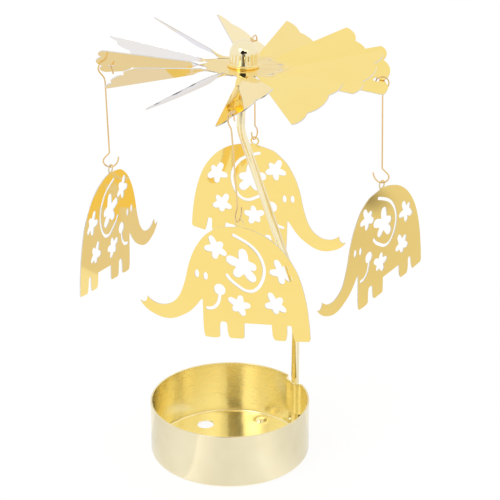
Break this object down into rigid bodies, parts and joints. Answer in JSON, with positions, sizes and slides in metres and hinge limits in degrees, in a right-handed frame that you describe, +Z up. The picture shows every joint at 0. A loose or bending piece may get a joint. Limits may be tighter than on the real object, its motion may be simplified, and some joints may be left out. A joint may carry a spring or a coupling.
{
  "type": "candle carousel",
  "caption": "Table-top candle carousel: brass tealight cup, bent rod clipped in its wall, and a bladed rotor on a needle that carries elephant pendants on wire hooks.",
  "frame": {"origin": "centre of the cup's flat underside, on the surface that it stands on", "axes": "+Z up along the cup's axis, +X to the right and -Y towards the viewer in the picture"},
  "size_m": [0.1347, 0.127, 0.1752],
  "materials": {
    "cup_brass": "brushed brass, satin outside and yellow inside",
    "rod_brass": "drawn bar, polished",
    "rotor_sheet": "rolled sheet, mirror polished",
    "hub_brass": "turned and polished",
    "hard_steel": "hardened and ground",
    "hook_wire": "drawn spring wire, bright",
    "pendant_sheet": "rolled sheet, polished"
  },
  "bodies": {
    "cup": {"candle_cup": "cup_brass"},
    "rod": {"support_rod": "rod_brass", "needle_point": "hard_steel"},
    "rotor": {"rotor_fan": "rotor_sheet", "hub_cap": "hub_brass", "bearing_cup": "hard_steel", "hub_washer": "hub_brass"},
    "hanger_right": {"hook_right": "hook_wire"},
    "hanger_back": {"hook_back": "hook_wire"},
    "hanger_left": {"hook_left": "hook_wire"},
    "hanger_front": {"hook_front": "hook_wire"},
    "pendant_right": {"elephant_right": "pendant_sheet"},
    "pendant_back": {"elephant_back": "pendant_sheet"},
    "pendant_left": {"elephant_left": "pendant_sheet"},
    "pendant_front": {"elephant_front": "pendant_sheet"}
  },
  "joints": [
    {"name": "rod_lift", "type": "slide", "parent": "cup", "child": "rod", "axis": [0, 0, 1], "range_m": [0, 0.015]},
    {"name": "rotor_spin", "type": "hinge", "parent": "rod", "child": "rotor", "pos_m": [0.0058, 0.0043, 0.169], "axis": [0, 0, 1], "continuous": true},
    {"name": "hook_swing_right", "type": "hinge", "parent": "rotor", "child": "hanger_right", "pos_m": [0.05795, -0.00067, 0.15805], "axis": [-0.095, -0.9955, 0], "range_deg": [-10, 16]},
    {"name": "hook_swing_back", "type": "hinge", "parent": "rotor", "child": "hanger_back", "pos_m": [0.01038, 0.05583, 0.15536], "axis": [0.9119, -0.4104, 0], "range_deg": [-10, 16]},
    {"name": "hook_swing_left", "type": "hinge", "parent": "rotor", "child": "hanger_left", "pos_m": [-0.04699, 0.00796, 0.16105], "axis": [0.0692, 0.9976, 0], "range_deg": [-10, 16]},
    {"name": "hook_swing_front", "type": "hinge", "parent": "rotor", "child": "hanger_front", "pos_m": [0.00079, -0.04857, 0.16213], "axis": [-0.9223, 0.3865, 0], "range_deg": [-10, 16]},
    {"name": "pendant_swing_right", "type": "hinge", "parent": "hanger_right", "child": "pendant_right", "pos_m": [0.0589, -0.00062, 0.11736], "axis": [0.9955, -0.095, 0], "range_deg": [-30, 30]},
    {"name": "pendant_swing_back", "type": "hinge", "parent": "hanger_back", "child": "pendant_back", "pos_m": [0.01062, 0.05539, 0.11366], "axis": [0.4104, 0.9119, 0], "range_deg": [-30, 30]},
    {"name": "pendant_swing_left", "type": "hinge", "parent": "hanger_left", "child": "pendant_left", "pos_m": [-0.04595, 0.00793, 0.12086], "axis": [-0.9976, 0.0692, 0], "range_deg": [-30, 30]},
    {"name": "pendant_swing_front", "type": "hinge", "parent": "hanger_front", "child": "pendant_front", "pos_m": [0.00349, -0.04812, 0.12212], "axis": [-0.3865, -0.9223, 0], "range_deg": [-30, 30]}
  ]
}
